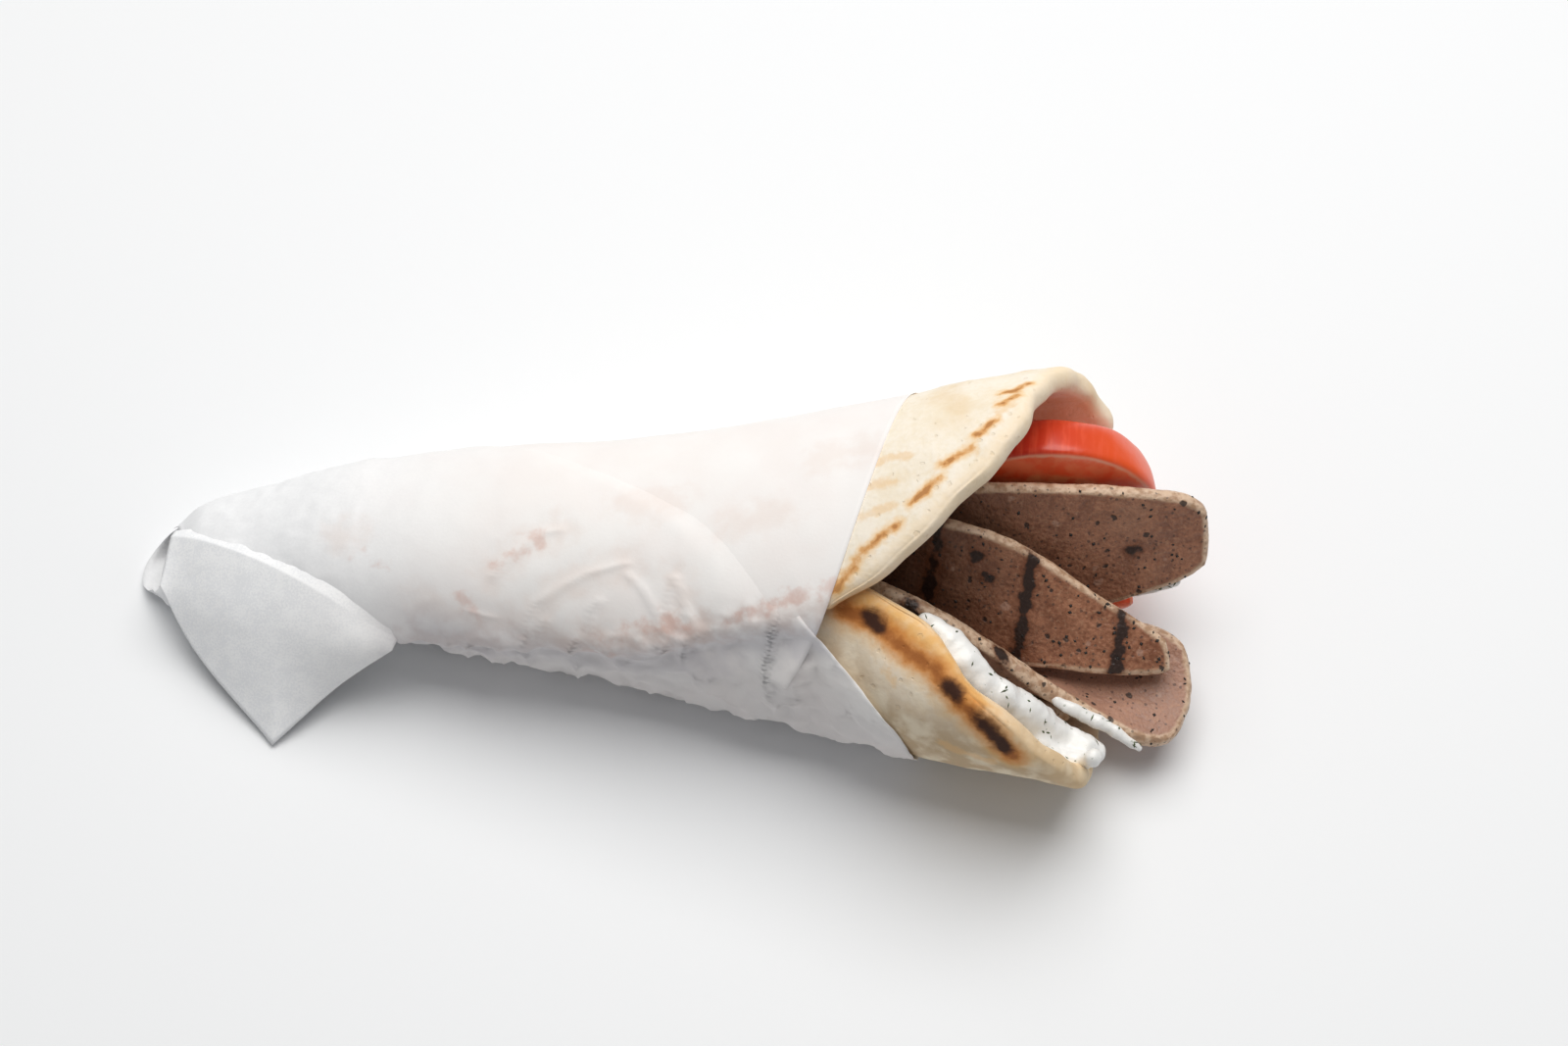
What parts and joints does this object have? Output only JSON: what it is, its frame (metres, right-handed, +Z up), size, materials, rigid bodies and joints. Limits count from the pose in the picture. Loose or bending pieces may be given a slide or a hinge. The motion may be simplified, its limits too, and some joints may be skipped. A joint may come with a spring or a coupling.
{
  "type": "gyro wrap",
  "caption": "Grilled flatbread rolled into a cone round sliced meat, tomato and yogurt sauce, its lower part wrapped in thin paper with a loose corner.",
  "frame": {"origin": "on the flat underside of the paper, under the roll's middle, where the wrap rests", "axes": "+X along the roll towards its open mouth, +Z up, -Y to the front where the bread's flap ends"},
  "size_m": [0.2204, 0.0862, 0.0614],
  "materials": {
    "bread": "soft grilled flatbread, matte",
    "paper": "thin translucent wrapping paper",
    "meat": "moist sliced gyro meat with pepper flecks",
    "tomato": "wet tomato",
    "yogurt_sauce": "thick yogurt sauce with herb flecks"
  },
  "bodies": {
    "root": {"bread": "bread", "paper_wrap": "paper", "meat_slice_back": "meat", "meat_slice_grilled": "meat", "meat_slice_curled": "meat", "meat_slice_front": "meat", "tomato_slice_back": "tomato", "tomato_slice_low": "tomato", "yogurt_sauce": "yogurt_sauce"}
  },
  "joints": []
}
